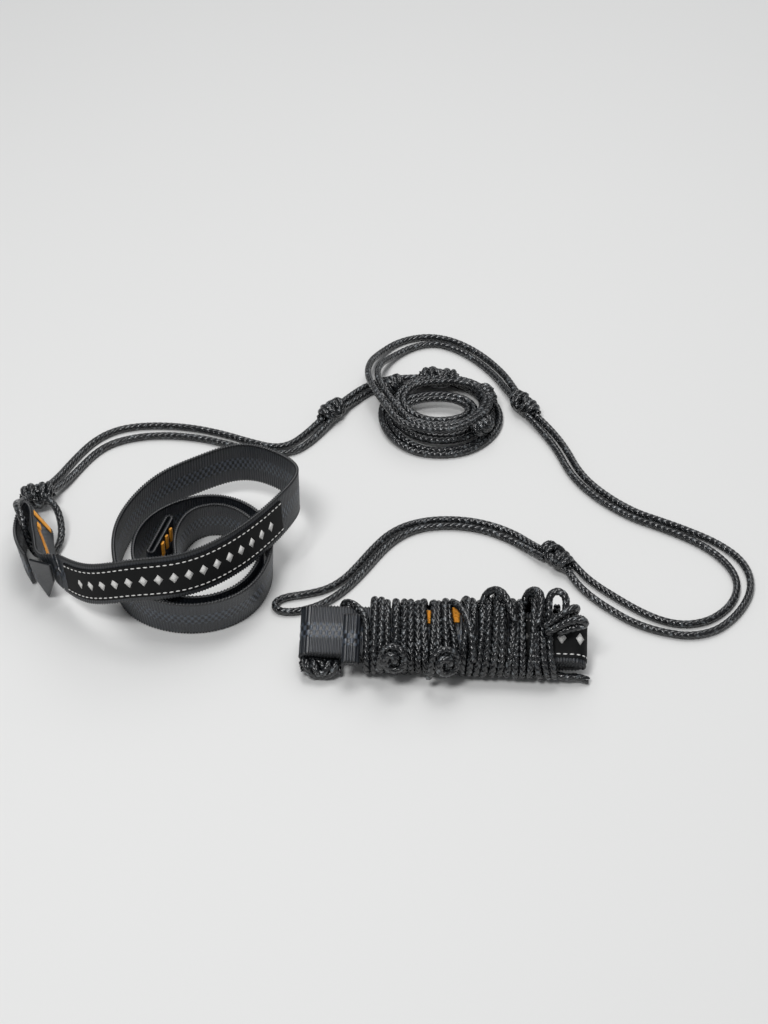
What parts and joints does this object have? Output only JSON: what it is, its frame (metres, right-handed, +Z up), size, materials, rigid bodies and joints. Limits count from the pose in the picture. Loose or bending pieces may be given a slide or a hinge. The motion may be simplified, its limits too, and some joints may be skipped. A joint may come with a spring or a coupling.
{
  "type": "hammock tree straps",
  "caption": "Pair of hammock tree straps, webbing with a sewn label and doubled braided rope knotted into loops, one laid out and one wound into a hank.",
  "frame": {"origin": "on the ground, at the middle of the footprint of the laid-out strap's webbing and the hank, leaving out the laid-out strap's rope", "axes": "+Z up from the ground, +X along the hank towards its label end, +Y from the hank towards the rope coil"},
  "size_m": [0.3778, 0.2929, 0.0515],
  "materials": {
    "webbing": "satin woven polyester, charcoal",
    "rope": "hollow braided polyethylene, glossy filaments, charcoal",
    "label": "black satin ribbon",
    "white_thread": "white sewing thread",
    "orange_thread": "orange sewing thread"
  },
  "bodies": {
    "strap_laid_out": {"bartacks_a_inner_eye": "orange_thread", "bartacks_a_outer_eye": "orange_thread", "label_a": "label", "label_a_stitching": "white_thread", "rope_a_coil": "rope", "rope_a_coil_knot_1": "rope", "rope_a_coil_knot_2": "rope", "rope_a_coil_knot_3": "rope", "rope_a_coil_knot_4": "rope", "rope_a_end_loop": "rope", "rope_a_eye_bight": "rope", "rope_a_first_loop_back": "rope", "rope_a_first_loop_front": "rope", "rope_a_hitch_knot": "rope", "rope_a_knot_1": "rope", "rope_a_knot_2": "rope", "rope_a_knot_3": "rope", "rope_a_lead_back": "rope", "rope_a_lead_front": "rope", "rope_a_side_loop_inner": "rope", "rope_a_side_loop_outer": "rope", "rope_a_top_loop_inner": "rope", "rope_a_top_loop_outer": "rope", "webbing_a_end_flap": "webbing", "webbing_a_inner_eye": "webbing", "webbing_a_outer_eye": "webbing", "webbing_a_spiral": "webbing"},
    "strap_hank": {"bartacks_b": "orange_thread", "label_b": "label", "label_b_stitching": "white_thread", "rope_b_end_bight_1": "rope", "rope_b_end_bight_2": "rope", "rope_b_end_bight_3": "rope", "rope_b_front_bight": "rope", "rope_b_front_knot_1": "rope", "rope_b_front_knot_2": "rope", "rope_b_start_hitch": "rope", "rope_b_tail": "rope", "rope_b_top_bight_1": "rope", "rope_b_top_bight_2": "rope", "rope_b_wraps": "rope", "webbing_b_end_fold": "webbing", "webbing_b_roll": "webbing"}
  },
  "joints": [
    {"name": "hank_lift", "type": "slide", "parent": "strap_laid_out", "child": "strap_hank", "axis": [0, 0, 1], "range_m": [0, 0.1]}
  ]
}
